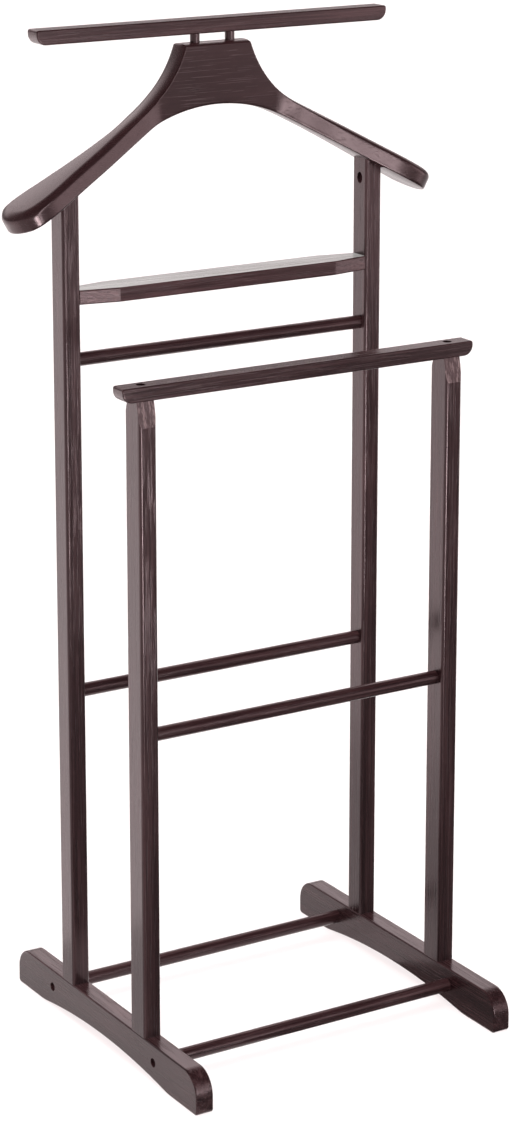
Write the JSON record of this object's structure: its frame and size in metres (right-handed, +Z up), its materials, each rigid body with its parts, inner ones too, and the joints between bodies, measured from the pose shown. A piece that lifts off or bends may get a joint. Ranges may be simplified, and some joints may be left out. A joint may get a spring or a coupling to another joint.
{
  "type": "valet stand",
  "caption": "Free-standing wooden valet stand with a contoured jacket hanger, top bar, shelf bar, trouser bar and cross rods on two foot rails.",
  "frame": {"origin": "on the floor, midway between the two foot rails and midway along them", "axes": "+Z up, +X across the stand to the right as seen from its front, -Y towards the front"},
  "size_m": [0.4732, 0.36, 0.991],
  "materials": {
    "stained_wood": "dark brown stain under satin lacquer",
    "plain_dowel": "unfinished beech",
    "screw_steel": "dark zinc"
  },
  "bodies": {
    "root": {"hanger": "stained_wood", "hanger_screws": "screw_steel", "left_foot_rail": "stained_wood", "left_front_post": "stained_wood", "left_rear_post": "stained_wood", "lower_front_rod": "stained_wood", "lower_rear_rod": "stained_wood", "mid_front_rod": "stained_wood", "mid_rear_rod": "stained_wood", "post_screws": "screw_steel", "right_foot_rail": "stained_wood", "right_front_post": "stained_wood", "right_rear_post": "stained_wood", "rod_screws": "screw_steel", "top_bar": "stained_wood", "top_bar_dowels": "stained_wood", "tray": "stained_wood", "tray_pins": "plain_dowel", "trouser_bar": "stained_wood", "trouser_bar_screws": "screw_steel", "upper_rod": "stained_wood"}
  },
  "joints": []
}
